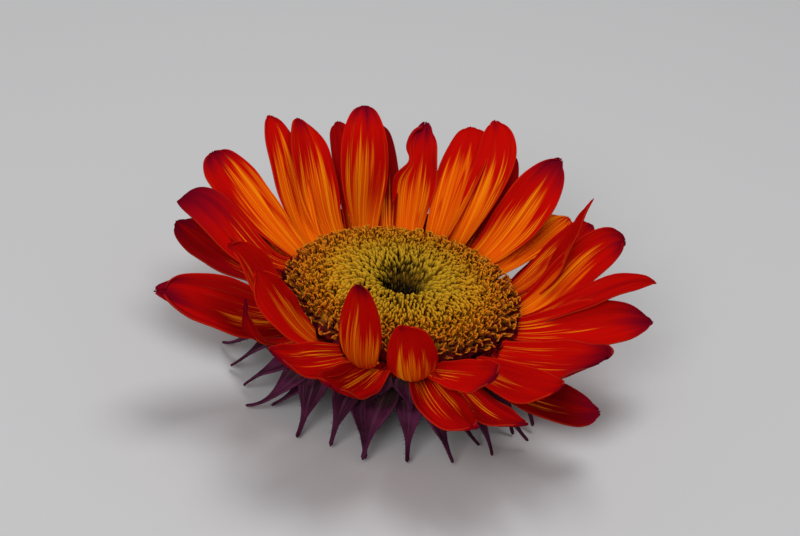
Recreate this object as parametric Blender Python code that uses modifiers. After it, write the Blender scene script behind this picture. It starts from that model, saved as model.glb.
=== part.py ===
"""A red sunflower bloom, cut off square just under its head and lying face up on a surface.

Four pieces that grow on one another: the ring of red petals, the yellow disc of florets, the purple
cup with its bracts, and the stub of the stem. The origin is at the middle of the stub's flat cut
face, +Z runs up through the disc, and -Y is the side with the two petals that stand up in front.
"""

import math
import random
from dataclasses import dataclass

import bmesh
import bpy
from mathutils import Matrix, Vector
from mathutils.geometry import delaunay_2d_cdt

MM = 0.001
GAP = 0.3 * MM
GOLDEN_ANGLE = math.radians(137.50776)

# The stub of the stem, from its cut face up to the cup.
STUB_RADIUS = 6.6 * MM
STUB_TOP_RADIUS = 8.2 * MM
STUB_HEIGHT = 6.0 * MM
STUB_SIDES = 36
STUB_RIBS = 9
STUB_RIB_DEPTH = 0.03

# The cup that carries everything, a shallow dish that widens from the stub to the ring of petals.
CUP_BOTTOM = STUB_HEIGHT + GAP
CUP_TOP = 18.8 * MM
CUP_RADIUS = 31.0 * MM
CUP_FOOT_RADIUS = STUB_TOP_RADIUS * 1.05
CUP_SIDES = 40
# The cup's side, as shares of its radius and of its height, from the rim down.
CUP_SIDE = ((1, 1), (0.99, 0.84), (0.9, 0.56), (0.7, 0.28), (0.45, 0.09))

# The ring that the petals grow from lies on the rim of the cup, tucked in under the edge of the disc.
RING_BOTTOM = CUP_TOP + GAP
RING_TOP = 21.3 * MM
RING_INNER = 28.5 * MM
RING_OUTER = 31.6 * MM
RING_BEVEL = 1.0 * MM
RING_SIDES = 40
PETAL_ROOT_RADIUS = 30.3 * MM
PETAL_ROOT_Z = 20.2 * MM
PETAL_THICKNESS = 0.7 * MM
PETAL_ROWS = 7
PETAL_COLUMNS = 4

# The disc: a low round cushion of florets with a dimple in the middle.
DISC_BOTTOM = CUP_TOP + GAP
DISC_FOOT_RADIUS = RING_INNER - GAP
DISC_LIP_Z = RING_TOP + GAP
DISC_RADIUS = 28.8 * MM
DISC_EDGE_Z = 22.2 * MM
DISC_CROWN = 6.2 * MM
DIMPLE_RADIUS = 5.5 * MM
DIMPLE_DEPTH = 7.0 * MM
FLORET_HEIGHT = 1.2 * MM
FLORETS = 560
DISC_SIDES = 80
OUTER_FLORET_RADIUS = DISC_RADIUS - 1.0 * MM
PETAL_CLEARANCE = DISC_RADIUS + FLORET_HEIGHT + GAP + PETAL_THICKNESS / 2

# The bracts: pointed leaves on the cup's side, whose thin tails reach down close to the surface.
BRACT_THICKNESS = 0.9 * MM
BRACT_ROWS = 6
BRACT_COLUMNS = 2
BRACT_LOWEST = 0.7 * MM


@dataclass(frozen=True)
class Outline:
    """How a blade's width runs from its root to its tip, as shares of the length and the width.

    fall holds the two powers by which the width falls off for a round tip, and for a pointed one.
    """

    root: float
    widest_at: float
    tip: float
    fall: tuple

    def share(self, s, point):
        """The width at s, from 0 at the root to 1 at the tip, which point draws from round to sharp."""
        if s < self.widest_at:
            return self.root + (1 - self.root) * math.sin(math.pi / 2 * s / self.widest_at) ** 1.3
        past = min((s - self.widest_at) / (1 - self.widest_at), 1)
        start, end = (mix(pair, point) for pair in zip(*self.fall))
        return self.tip + (1 - self.tip) * (1 - past**start) ** end


PETAL = Outline(root=0.6, widest_at=0.5, tip=0.12, fall=((2.6, 0.6), (1.7, 1)))
BRACT = Outline(root=0.85, widest_at=0.25, tip=0.08, fall=((1.7, 3.3), (1.7, 3.3)))


@dataclass(frozen=True)
class Blade:
    """A petal or a bract along its own bent middle line, in millimetres and degrees.

    rise is the slope above level at the root, half way and at the tip, yaw turns the line
    counter-clockwise at the root and the tip, twist turns the blade about its line at both ends,
    and cup is half the angle of the channel across it at both ends. taper narrows the outer half
    by that share at the tip, and point is 0 for a round tip and 1 for a pointed one.
    """

    azimuth: float
    length: float
    width: float
    rise: tuple
    yaw: tuple = (0, 0)
    twist: tuple = (0, 0)
    cup: tuple = (60, 20)
    taper: float = 0
    point: float = 0
    root_radius: float = PETAL_ROOT_RADIUS / MM
    root_z: float = PETAL_ROOT_Z / MM


# The petals, counter-clockwise from the right-hand side, each as it lies in the bloom.
PETALS = (
    Blade(358, 41.3, 7.9, (18, 27, -32), (5, 42), (4, 18), taper=0.18, point=0.02),
    Blade(7, 39.9, 11.3, (12, 41, -40), (19, 44), (13, 53), point=0.02),
    Blade(19, 37.8, 7.9, (4, 76, 58), (-12, 19), (5, -3), (70, 60), taper=0.59, point=0.31),
    Blade(24, 36.2, 9.2, (19, 30, -25), (6, 46), (0, 20), point=0.31),
    Blade(30, 34.4, 9, (-39, 16, -7), (20, 40), (-8, -10), point=0.8),
    Blade(42, 36.5, 11.3, (16, 12, -7), (4, 23), (-3, 8)),
    Blade(54, 41.4, 14.3, (16, 44, 8), (-13, 13), (5, 30), taper=0.03, point=0.44),
    Blade(60, 44.5, 7, (38, 37, -46), (-4, 20), (0, 17), point=0.2),
    Blade(73, 45.8, 14.9, (31, 48, -10), (-24, 21), (-1, 2), taper=0.27),
    Blade(76, 48.3, 14.2, (65, 27, -16), (-5, 18), (-27, -11), taper=0.29, point=0.3),
    Blade(90, 38.4, 11.3, (18, 52, 6), (5, 0), (-29, -17), taper=0.37),
    Blade(102, 44.2, 8, (48, 24, -8), (-6, 4), (-16, 21), point=0.46),
    Blade(114, 41.5, 14.4, (44, 70, -20), (5, -20), (22, -14), taper=0.19, point=0.23),
    Blade(119, 44, 9.1, (63, 23, -5), (-8, -17), (16, -8)),
    Blade(129, 39.9, 13.2, (18, 52, -7), (7, -20), (-13, 21), taper=0.12),
    Blade(142, 44.2, 11.1, (18, 45, -8), (-8, -30), (-1, 6), taper=0.18, point=0.02),
    Blade(153, 45.3, 13.4, (28, 21, -13), (11, -41), (-6, -29), point=0.06),
    Blade(159, 31, 12, (4, 22, -18), (8, -34), (-12, -24), point=0.1),
    Blade(165, 40.9, 11.8, (-16, 34, -59), (16, -32), (-27, -23), taper=0.05),
    Blade(177, 36.9, 11, (-5, 12, -12), (1, -49), (-15, -32), taper=0.07),
    Blade(208, 39.1, 17.9, (-1, 27, 12), (7, -2), (-36, -19), taper=0.14),
    Blade(213, 31.6, 17.9, (19, 64, 32), (-17, 3), (-19, -31), point=1),
    Blade(225, 38.2, 5.6, (-12, 44, 75), (-4, 39), (6, 8), taper=0.58, point=0.32),
    Blade(236, 32.6, 12.6, (33, 52, 65), (-7, -57), (-13, -50), taper=0.08, point=0.23),
    Blade(250, 37.8, 13.5, (22, 24, 56), (-7, -16), (-20, -10), taper=0.12),
    Blade(260, 42.6, 11.3, (12, 76, 36), (-7, 2), (8, -5), taper=0.38, point=0.17),
    Blade(265, 35.7, 13.6, (7, 22, 49), (-17, -9), (-5, -9), taper=0.02, point=0.01),
    Blade(282, 40, 12.8, (2, 62, 38), (-10, -42), (12, 28), taper=0.2),
    Blade(284, 36.8, 12.4, (3, 12, 40), (3, 18), (7, 11), taper=0.19, point=0.17),
    Blade(288, 37, 11, (24, 33, 42), (30, -10), (18, 55), point=0.2),
    Blade(299, 37.8, 11.2, (-12, 16, 38), (-4, 8), (-6, 7), taper=0.09, point=0.57),
    Blade(308, 34.4, 12.8, (12, 18, 62), (20, -7), (13, 24), taper=0.02, point=0.15),
    Blade(316, 34.5, 12.6, (-16, -7, -17), (-2, 77), (6, 31)),
    Blade(325, 42.5, 16.1, (-5, 33, 46), (28, -46), (16, 29), taper=0.11),
    Blade(350, 39.8, 14.8, (12, 10, -27), (2, 55), (16, 35), taper=0.27, point=0.36),
)

# The bracts seen below the petals in front, counter-clockwise, each from its own place on the cup.
BRACTS_IN_FRONT = (
    Blade(198, 24, 8, (-10, -40, -25), (0, -79), root_radius=28.0, root_z=14.2),
    Blade(207, 21, 8.5, (-4, -46, -46), (-4, -61), root_radius=28.0, root_z=14.2),
    Blade(219, 21.2, 8.5, (-8, -36, -57), (13, -79), root_radius=26.5, root_z=13.0),
    Blade(229, 22.9, 8.5, (-6, -46, -19), (15, -67), root_radius=28.0, root_z=14.2),
    Blade(233, 18.5, 7.5, (-2, -38, -41), (6, -63), root_radius=24.5, root_z=11.0),
    Blade(234, 20.7, 9, (5, -59, -19), (24, 23), root_radius=28.0, root_z=14.2),
    Blade(253, 19.4, 8, (1, -44, -70), (2, 3), root_radius=26.5, root_z=13.0),
    Blade(258, 21.5, 8, (2, -29, -56), (3, 43), root_radius=24.5, root_z=11.0),
    Blade(271, 20.8, 9, (1, -46, -70), (-14, -16), root_radius=28.0, root_z=14.2),
    Blade(283, 19.4, 8, (1, -48, -48), (-10, 0), root_radius=26.5, root_z=13.0),
    Blade(286, 21.3, 9, (0, -45, -56), (13, 53), root_radius=28.0, root_z=14.2),
    Blade(296, 19.4, 7.5, (6, -39, -38), (21, 60), root_radius=24.5, root_z=11.0),
    Blade(302, 22, 8.5, (2, -42, -70), (18, 40), root_radius=28.0, root_z=14.2),
)

# The rest of the bracts follow on round the back, in the same three rows: root radius, root height
# and length of each row. The other pairs are the least and the most of what differs between them.
BACK_ROWS = ((28.0, 14.2, 21.5), (24.5, 11.0, 19.0), (26.5, 13.0, 20.5))
BACK_BRACTS = 19
BACK_FROM = 320
BACK_STEP = 11.5
BACK_WIDTH = (8, 9.5)
BACK_HALF_RISE = (-46, -38)
BACK_TIP_RISE = (-68, -35)
BACK_TURN = (10, 60)


def smoothstep(x):
    """0 to 1 with level ends, clamped."""
    x = min(max(x, 0.0), 1.0)
    return x * x * (3 - 2 * x)


def mix(pair, share):
    """The value that lies a share of the way between two."""
    return pair[0] + (pair[1] - pair[0]) * share


def middle_line(blade, steps):
    """Points along the blade's middle, each with its forward, side and face directions."""
    azimuth = math.radians(blade.azimuth)
    outward = Vector((math.cos(azimuth), math.sin(azimuth), 0))
    along = Vector((-math.sin(azimuth), math.cos(azimuth), 0))
    up = Vector((0, 0, 1))
    point = outward * blade.root_radius * MM + up * blade.root_z * MM
    line = []
    last = None
    for step in range(steps + 1):
        s = step / steps
        root, half, tip = blade.rise
        slope = root * (1 - s) * (1 - 2 * s) + 4 * half * s * (1 - s) + tip * s * (2 * s - 1)
        slope = math.radians(slope)
        turn = math.radians(mix(blade.yaw, s))
        level = outward * math.cos(turn) + along * math.sin(turn)
        forward = level * math.cos(slope) + up * math.sin(slope)
        if last is not None:
            point = point + (forward + last).normalized() * blade.length * MM / steps
        last = forward
        side = along * math.cos(turn) - outward * math.sin(turn)
        twist = Matrix.Rotation(math.radians(mix(blade.twist, s)), 3, forward)
        side = twist @ side
        line.append((point.copy(), forward, side, forward.cross(side)))
    return line


def blade_mesh(blade, outline, rows, columns, bend_clear):
    """An open sheet of rows by columns, in triangles, bent to the blade's shape."""
    steps = 8 * rows
    line = middle_line(blade, steps)
    sheet = bmesh.new()
    bmesh.ops.create_grid(sheet, x_segments=columns, y_segments=rows, size=1)
    bmesh.ops.triangulate(sheet, faces=sheet.faces)
    for vertex in sheet.verts:
        across = vertex.co.x
        s = 1 - (0.5 - vertex.co.y / 2) ** 1.25
        narrowed = 1 - blade.taper * smoothstep((s - 0.4) / 0.6)
        half_width = blade.width * MM / 2 * outline.share(s, blade.point) * narrowed
        at = (s - 0.03 * abs(across) ** 1.8 * s**4) * steps
        first = min(int(at), steps - 1)
        point, _, side, face = (
            a.lerp(b, at - first) for a, b in zip(line[first], line[first + 1])
        )
        arc = max(math.radians(mix(blade.cup, min(1, s / 0.8))), 0.02)
        outwards = half_width / arc * math.sin(arc * across)
        lifted = half_width / arc * (1 - math.cos(arc * across))
        vertex.co = bend_clear(point + side * outwards + face * lifted)
    mesh = bpy.data.meshes.new("blade")
    sheet.to_mesh(mesh)
    sheet.free()
    return mesh


def clear_of_disc(point):
    """A petal's point, moved out where it would lean into the disc."""
    level = Vector((point.x, point.y, 0))
    if point.z > RING_TOP and level.length < PETAL_CLEARANCE:
        level = level.normalized() * PETAL_CLEARANCE
    return Vector((level.x, level.y, point.z))


def clear_of_surface(point):
    """A bract's point, kept above the surface, along which its tail then lies."""
    return Vector((point.x, point.y, max(point.z, BRACT_LOWEST)))


def evaluated_mesh(obj):
    """The object's mesh with its modifiers applied."""
    graph = bpy.context.evaluated_depsgraph_get()
    return bpy.data.meshes.new_from_object(obj.evaluated_get(graph))


def apply_modifiers(obj):
    """Turns the object's modifiers into mesh."""
    obj.data = evaluated_mesh(obj)
    obj.modifiers.clear()


def material(name, colour, roughness):
    """A plain finish: linear colour and roughness."""
    made = bpy.data.materials.new(name)
    made.use_nodes = True
    shader = made.node_tree.nodes["Principled BSDF"]
    shader.inputs["Base Color"].default_value = (*colour, 1)
    shader.inputs["Roughness"].default_value = roughness
    shader.inputs["Metallic"].default_value = 0
    return made


def turned(name, profile, sides, collection):
    """A solid turned about the Z axis from a profile that runs down its outer side."""
    mesh = bpy.data.meshes.new(name)
    count = len(profile)
    mesh.from_pydata([(r, 0, z) for r, z in profile], [(i, i + 1) for i in range(count - 1)], [])
    obj = bpy.data.objects.new(name, mesh)
    collection.objects.link(obj)
    screw = obj.modifiers.new("turn", "SCREW")
    screw.steps = screw.render_steps = sides
    screw.use_merge_vertices = True
    screw.merge_threshold = 1e-6
    screw.use_smooth_shade = True
    return obj


def fill_pockets(mesh):
    """Fills the pockets that crossing blades seal off, by keeping the outer skin alone."""
    shape = bmesh.new()
    shape.from_mesh(mesh)
    left = set(shape.verts)
    skins = []
    while left:
        skin = [left.pop()]
        for vertex in skin:
            beside = {edge.other_vert(vertex) for edge in vertex.link_edges} & left
            left -= beside
            skin.extend(beside)
        skins.append(skin)
    skins.sort(key=len)
    for pocket in skins[:-1]:
        bmesh.ops.delete(shape, geom=pocket, context="VERTS")
    shape.to_mesh(mesh)
    shape.free()


def joined(obj, blades, outline, rows, columns, thickness, bend_clear):
    """Grows the blades out of the object, as one body with it."""
    grown = bpy.data.collections.new(f"{obj.name} blades")
    bpy.context.scene.collection.children.link(grown)
    for blade in blades:
        mesh = blade_mesh(blade, outline, rows, columns, bend_clear)
        leaf = bpy.data.objects.new("blade", mesh)
        grown.objects.link(leaf)
        wall = leaf.modifiers.new("thickness", "SOLIDIFY")
        wall.thickness = thickness
        wall.offset = 0
    bpy.context.view_layer.update()
    for leaf in list(grown.objects):
        apply_modifiers(leaf)
    union = obj.modifiers.new("growth", "BOOLEAN")
    union.operation = "UNION"
    union.operand_type = "COLLECTION"
    union.collection = grown
    union.solver = "MANIFOLD"
    bpy.context.view_layer.update()
    apply_modifiers(obj)
    obj.data.materials.clear()
    fill_pockets(obj.data)
    for leaf in list(grown.objects):
        bpy.data.objects.remove(leaf)
    bpy.data.collections.remove(grown)


def make_stub(collection):
    """The stub of the stem, with shallow ribs, flat and square at its cut."""
    profile = (
        (0, STUB_HEIGHT),
        (STUB_TOP_RADIUS, STUB_HEIGHT),
        (STUB_TOP_RADIUS * 0.9, STUB_HEIGHT * 0.7),
        (STUB_RADIUS, STUB_HEIGHT * 0.3),
        (STUB_RADIUS, 0),
        (0, 0),
    )
    stub = turned("stem_stub", profile, STUB_SIDES, collection)
    apply_modifiers(stub)
    for vertex in stub.data.vertices:
        angle = math.atan2(vertex.co.y, vertex.co.x)
        rib = 1 + STUB_RIB_DEPTH * math.cos(STUB_RIBS * angle)
        vertex.co.x *= rib
        vertex.co.y *= rib
    stub.data.materials.append(material("stem_green", (0.12, 0.13, 0.04), 0.6))
    return stub


def bracts_behind():
    """The bracts that the view from the front doesn't reach, drawn alike with small differences."""
    draw = random.Random(11)
    made = []
    for number in range(BACK_BRACTS):
        radius, height, length = BACK_ROWS[number % len(BACK_ROWS)]
        azimuth = BACK_FROM + BACK_STEP * number + draw.uniform(-1.5, 1.5)
        rise = (0, draw.uniform(*BACK_HALF_RISE), draw.uniform(*BACK_TIP_RISE))
        turn = draw.choice((-1, 1)) * draw.uniform(*BACK_TURN)
        width = draw.uniform(*BACK_WIDTH)
        made.append(
            Blade(azimuth, length, width, rise, (0, turn), root_radius=radius, root_z=height)
        )
    return tuple(made)


def make_cup(collection):
    """The cup, flat on top where the disc and the ring of petals lie, with the bracts round it."""
    height = CUP_TOP - CUP_BOTTOM
    side = [(CUP_RADIUS * out, CUP_BOTTOM + height * up) for out, up in CUP_SIDE]
    profile = [(0, CUP_TOP), *side, (CUP_FOOT_RADIUS, CUP_BOTTOM), (0, CUP_BOTTOM)]
    cup = turned("bract_cup", profile, CUP_SIDES, collection)
    apply_modifiers(cup)
    bracts = BRACTS_IN_FRONT + bracts_behind()
    joined(cup, bracts, BRACT, BRACT_ROWS, BRACT_COLUMNS, BRACT_THICKNESS, clear_of_surface)
    cup.data.materials.append(material("bract_purple", (0.08, 0.02, 0.05), 0.55))
    return cup


def make_petals(collection):
    """The ring and every petal that grows from it."""
    profile = (
        (RING_INNER, RING_TOP),
        (RING_OUTER - RING_BEVEL, RING_TOP),
        (RING_OUTER, RING_BOTTOM),
        (RING_INNER, RING_BOTTOM),
        (RING_INNER, RING_TOP),
    )
    ring = turned("ray_petals", profile, RING_SIDES, collection)
    apply_modifiers(ring)
    shape = bmesh.new()
    shape.from_mesh(ring.data)
    bmesh.ops.remove_doubles(shape, verts=shape.verts, dist=1e-6)
    shape.to_mesh(ring.data)
    shape.free()
    joined(ring, PETALS, PETAL, PETAL_ROWS, PETAL_COLUMNS, PETAL_THICKNESS, clear_of_disc)
    ring.data.materials.append(material("petal_red", (0.45, 0.01, 0.005), 0.45))
    return ring


def disc_surface(radius):
    """The height and the slope of the disc's smooth surface at a radius."""
    share = min(radius / DISC_RADIUS, 0.995)
    dome = math.sqrt(1 - share**3)
    height = DISC_EDGE_Z + DISC_CROWN * dome
    slope = -DISC_CROWN * 1.5 * share**2 / dome / DISC_RADIUS
    dip = DIMPLE_DEPTH * math.exp(-((radius / DIMPLE_RADIUS) ** 3))
    height -= dip
    slope += dip * 3 * radius**2 / DIMPLE_RADIUS**3
    return height, slope


def floret_net():
    """A flat net in which each floret's tip is ringed by low points only.

    The tips are laid out by the golden angle and joined into triangles. Each triangle then gets a
    point at its middle, and the edge between two tips is turned to join the two middles.
    """
    flat = []
    for index in range(FLORETS):
        radius = OUTER_FLORET_RADIUS * math.sqrt((index + 0.5) / FLORETS)
        angle = index * GOLDEN_ANGLE
        flat.append(Vector((radius * math.cos(angle), radius * math.sin(angle))) / MM)
    for side in range(DISC_SIDES):
        angle = 2 * math.pi * side / DISC_SIDES
        flat.append(Vector((math.cos(angle), math.sin(angle))) * DISC_RADIUS / MM)
    rim = [(FLORETS + i, FLORETS + (i + 1) % DISC_SIDES) for i in range(DISC_SIDES)]
    points, _, faces, *_ = delaunay_2d_cdt(flat, rim, [], 1, 1e-6)
    if len(points) != len(flat):
        raise ValueError("two points of the disc fell together")
    net = bmesh.new()
    verts = [net.verts.new((point.x * MM, point.y * MM, 0)) for point in flat]
    for face in faces:
        net.faces.new([verts[i] for i in face])
    between = [
        edge
        for edge in net.edges
        if all(verts.index(v) < FLORETS for v in edge.verts) and len(edge.link_faces) == 2
    ]
    bmesh.ops.poke(net, faces=net.faces)
    bmesh.ops.rotate_edges(net, edges=between, use_ccw=False)
    return net, verts[:FLORETS], [net.edges.get((verts[a], verts[b])) for a, b in rim]


def make_disc(collection):
    """The disc: a low dome with its florets raised from it, on a narrower foot."""
    shape, tips, loop = floret_net()
    raised = set(tips)
    for vertex in shape.verts:
        level = Vector((vertex.co.x, vertex.co.y))
        height, slope = disc_surface(level.length)
        vertex.co.z = height
        if vertex in raised:
            outward = level.normalized()
            lean = Vector((-slope * outward.x, -slope * outward.y, 1)).normalized()
            vertex.co += lean * FLORET_HEIGHT
    for radius, height in (
        (DISC_RADIUS, DISC_LIP_Z),
        (DISC_FOOT_RADIUS, DISC_LIP_Z),
        (DISC_FOOT_RADIUS, DISC_BOTTOM),
    ):
        grown = bmesh.ops.extrude_edge_only(shape, edges=loop)["geom"]
        for vertex in (part for part in grown if isinstance(part, bmesh.types.BMVert)):
            level = Vector((vertex.co.x, vertex.co.y)).normalized() * radius
            vertex.co = (level.x, level.y, height)
        loop = [part for part in grown if isinstance(part, bmesh.types.BMEdge)]
    bmesh.ops.contextual_create(shape, geom=loop)
    bmesh.ops.recalc_face_normals(shape, faces=shape.faces)
    mesh = bpy.data.meshes.new("floret_disc")
    shape.to_mesh(mesh)
    shape.free()
    disc = bpy.data.objects.new("floret_disc", mesh)
    collection.objects.link(disc)
    mesh.materials.append(material("floret_yellow", (0.4, 0.24, 0.02), 0.7))
    return disc


def main():
    for obj in list(bpy.data.objects):
        bpy.data.objects.remove(obj)
    bloom = bpy.data.collections.new("red sunflower")
    bpy.context.scene.collection.children.link(bloom)
    for piece in (make_stub(bloom), make_cup(bloom), make_petals(bloom), make_disc(bloom)):
        piece.data.shade_smooth()
        piece.data.set_sharp_from_angle(angle=math.radians(40))


main()
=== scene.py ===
"""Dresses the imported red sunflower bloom: its petals, florets, bracts and stem stub.

Every piece follows the solid that it stands for, blade by blade, and adds what a closer look shows:
the ribs, ruffles and streaks of the petals, about 2,100 florets with curled stigmas over dark red
chaff, the veins and hairs of the bracts, and the ribs, hairs and pith of the cut stem.
"""

from __future__ import annotations

import logging
import math
import random
from dataclasses import dataclass, replace
from enum import Enum
from typing import Callable, Iterable, Iterator, Union

import bmesh
import bpy
from mathutils import Matrix, Vector


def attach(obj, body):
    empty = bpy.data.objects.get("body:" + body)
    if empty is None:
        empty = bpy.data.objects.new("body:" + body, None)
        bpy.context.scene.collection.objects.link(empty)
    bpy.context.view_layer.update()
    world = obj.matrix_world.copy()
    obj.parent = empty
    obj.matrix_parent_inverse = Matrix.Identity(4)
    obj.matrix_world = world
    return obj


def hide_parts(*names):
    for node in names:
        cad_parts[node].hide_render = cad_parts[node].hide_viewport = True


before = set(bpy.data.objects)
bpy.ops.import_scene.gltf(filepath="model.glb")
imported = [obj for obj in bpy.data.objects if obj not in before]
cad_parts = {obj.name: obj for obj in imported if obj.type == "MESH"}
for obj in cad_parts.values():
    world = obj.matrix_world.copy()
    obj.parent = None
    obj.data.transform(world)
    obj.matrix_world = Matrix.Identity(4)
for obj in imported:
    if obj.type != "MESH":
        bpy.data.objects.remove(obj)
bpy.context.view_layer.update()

LOG = logging.getLogger("red_sunflower")
MM = 0.001
GOLDEN_ANGLE = math.radians(137.50776)
UP = Vector((0, 0, 1))
# A little over one turn in radians, for directions and phases that are drawn at random.
ANY_TURN = (0, 6.3)
# The numbers that a petal's look and its material share.
LOOK_TRAITS = ("gold", "reach", "side", "tip", "shade", "solid")

Colour = tuple[float, float, float]
Pair = tuple[float, float]


def smoothstep(x: float) -> float:
    """0 to 1 with level ends, clamped."""
    x = min(max(x, 0.0), 1.0)
    return x * x * (3 - 2 * x)


def mix(pair: Pair, share: float) -> float:
    """The value that lies a share of the way between two."""
    return pair[0] + (pair[1] - pair[0]) * share


def round_about(angle: float) -> Vector:
    """The level direction at an angle, in radians, counter-clockwise from the right."""
    return Vector((math.cos(angle), math.sin(angle), 0))


class Signal:
    """A value that varies over a surface, carried by a node's output socket.

    Python's operators on a signal add the Math nodes that work the expression out.
    """

    def __init__(self, graph: Graph, socket: bpy.types.NodeSocket) -> None:
        """Wraps a socket of a graph."""
        self.graph = graph
        self.socket = socket

    def _math(self, operation: str, first: Number, second: Number) -> Signal:
        """Adds one Math node for two values.

        Args:
            operation: the Math node's operation.
            first: its first value.
            second: its second value.

        Returns:
            The result.
        """
        return self.graph.add("ShaderNodeMath", {"operation": operation}, {0: first, 1: second})

    def __add__(self, other: Number) -> Signal:
        """Adds a value."""
        return self._math("ADD", self, other)

    def __radd__(self, other: Number) -> Signal:
        """Adds to a number."""
        return self._math("ADD", other, self)

    def __sub__(self, other: Number) -> Signal:
        """Takes a value away."""
        return self._math("SUBTRACT", self, other)

    def __rsub__(self, other: Number) -> Signal:
        """Takes this away from a number."""
        return self._math("SUBTRACT", other, self)

    def __mul__(self, other: Number) -> Signal:
        """Multiplies by a value."""
        return self._math("MULTIPLY", self, other)

    def __rmul__(self, other: Number) -> Signal:
        """Multiplies a number."""
        return self._math("MULTIPLY", other, self)

    def __abs__(self) -> Signal:
        """Drops the sign."""
        return self._math("ABSOLUTE", self, 0)

    def step(self, low: Number, high: Number) -> Signal:
        """Rises smoothly from 0 to 1 as the signal goes from low to high.

        Args:
            low: where the rise starts.
            high: where it ends.

        Returns:
            The step.
        """
        return self.graph.add(
            "ShaderNodeMapRange",
            {"interpolation_type": "SMOOTHSTEP"},
            {"Value": self, "From Min": low, "From Max": high},
        )


Number = Union[float, Signal]


class Graph:
    """The node tree of one material."""

    def __init__(self, name: str) -> None:
        """Starts a material of that name."""
        self.material = bpy.data.materials.new(name)
        self.material.use_nodes = True
        self.tree = self.material.node_tree
        self.shader = self.tree.nodes["Principled BSDF"]

    def feed(self, socket: bpy.types.NodeSocket, value: object) -> None:
        """Links a signal to a socket, or sets the socket's own value.

        Args:
            socket: the input.
            value: a signal, a number, or a colour or vector as a tuple.
        """
        if isinstance(value, Signal):
            self.tree.links.new(value.socket, socket)
        elif isinstance(value, tuple) and len(socket.default_value) == 4:
            socket.default_value = (*value, 1.0)
        else:
            socket.default_value = value

    def add(
        self,
        kind: str,
        settings: dict[str, object] | None = None,
        sockets: dict[Union[str, int], object] | None = None,
        output: int = 0,
    ) -> Signal:
        """Adds a node of any kind.

        Args:
            kind: the node's type.
            settings: its own settings, where stops are a colour ramp's places and colours.
            sockets: the values or links of its inputs.
            output: the number of the output that is wanted.

        Returns:
            That output.
        """
        node = self.tree.nodes.new(kind)
        for name, value in (settings or {}).items():
            if name == "stops":
                self._set_stops(node.color_ramp, value)
            else:
                setattr(node, name, value)
        for key, value in (sockets or {}).items():
            self.feed(node.inputs[key], value)
        return Signal(self, node.outputs[output])

    @staticmethod
    def _set_stops(ramp: bpy.types.ColorRamp, stops: Iterable[tuple[float, Colour]]) -> None:
        """Gives a colour ramp its stops."""
        for number, (place, colour) in enumerate(stops):
            stop = ramp.elements[number] if number < 2 else ramp.elements.new(place)
            stop.position = place
            stop.color = (*colour, 1.0)

    def trait(self, name: str) -> Signal:
        """A number that the mesh carries at each point."""
        return self.add("ShaderNodeAttribute", {"attribute_name": name}, output=2)

    def place(self) -> Signal:
        """The point's own place, in metres."""
        return self.add("ShaderNodeTexCoord", output=3)

    def vector(self, x: Number, y: Number, z: Number) -> Signal:
        """Three values as one vector."""
        return self.add("ShaderNodeCombineXYZ", None, {0: x, 1: y, 2: z})

    def part(self, vector: Signal, axis: int) -> Signal:
        """One of a vector's three values."""
        return self.add("ShaderNodeSeparateXYZ", None, {0: vector}, axis)

    def noise(self, vector: Signal, scale: float = 1.0, detail: float = 2.0) -> Signal:
        """Soft noise round one half.

        Args:
            vector: where the noise is read.
            scale: how fine it is.
            detail: how many finer layers it has.

        Returns:
            The noise.
        """
        sockets = {"Vector": vector, "Scale": scale, "Detail": detail}
        return self.add("ShaderNodeTexNoise", None, sockets)

    def paint(self, base: object, *coats: tuple[Number, object]) -> Signal:
        """Blends colours one over another.

        Args:
            base: the lowest colour.
            coats: each further colour after its share, which is 0 where it leaves no trace.

        Returns:
            The blend.
        """
        for share, colour in coats:
            sockets = {0: share, 6: base, 7: colour}
            base = self.add("ShaderNodeMix", {"data_type": "RGBA"}, sockets, output=2)
        return base

    def finish(
        self,
        colour: Signal,
        roughness: Number,
        height: Signal,
        depth: float,
        **constants: float,
    ) -> bpy.types.Material:
        """Feeds the shader.

        Args:
            colour: the base colour.
            roughness: how matt the surface is.
            height: the low relief.
            depth: how deep the relief is, in metres.
            constants: shader inputs that are the same all over, with _ for each space.

        Returns:
            The material.
        """
        self.feed(self.shader.inputs["Base Color"], colour)
        self.feed(self.shader.inputs["Roughness"], roughness)
        for name, value in constants.items():
            self.feed(self.shader.inputs[name.replace("_", " ")], value)
        normal = self.add("ShaderNodeBump", None, {"Height": height, "Distance": depth})
        self.feed(self.shader.inputs["Normal"], normal)
        return self.material


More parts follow.
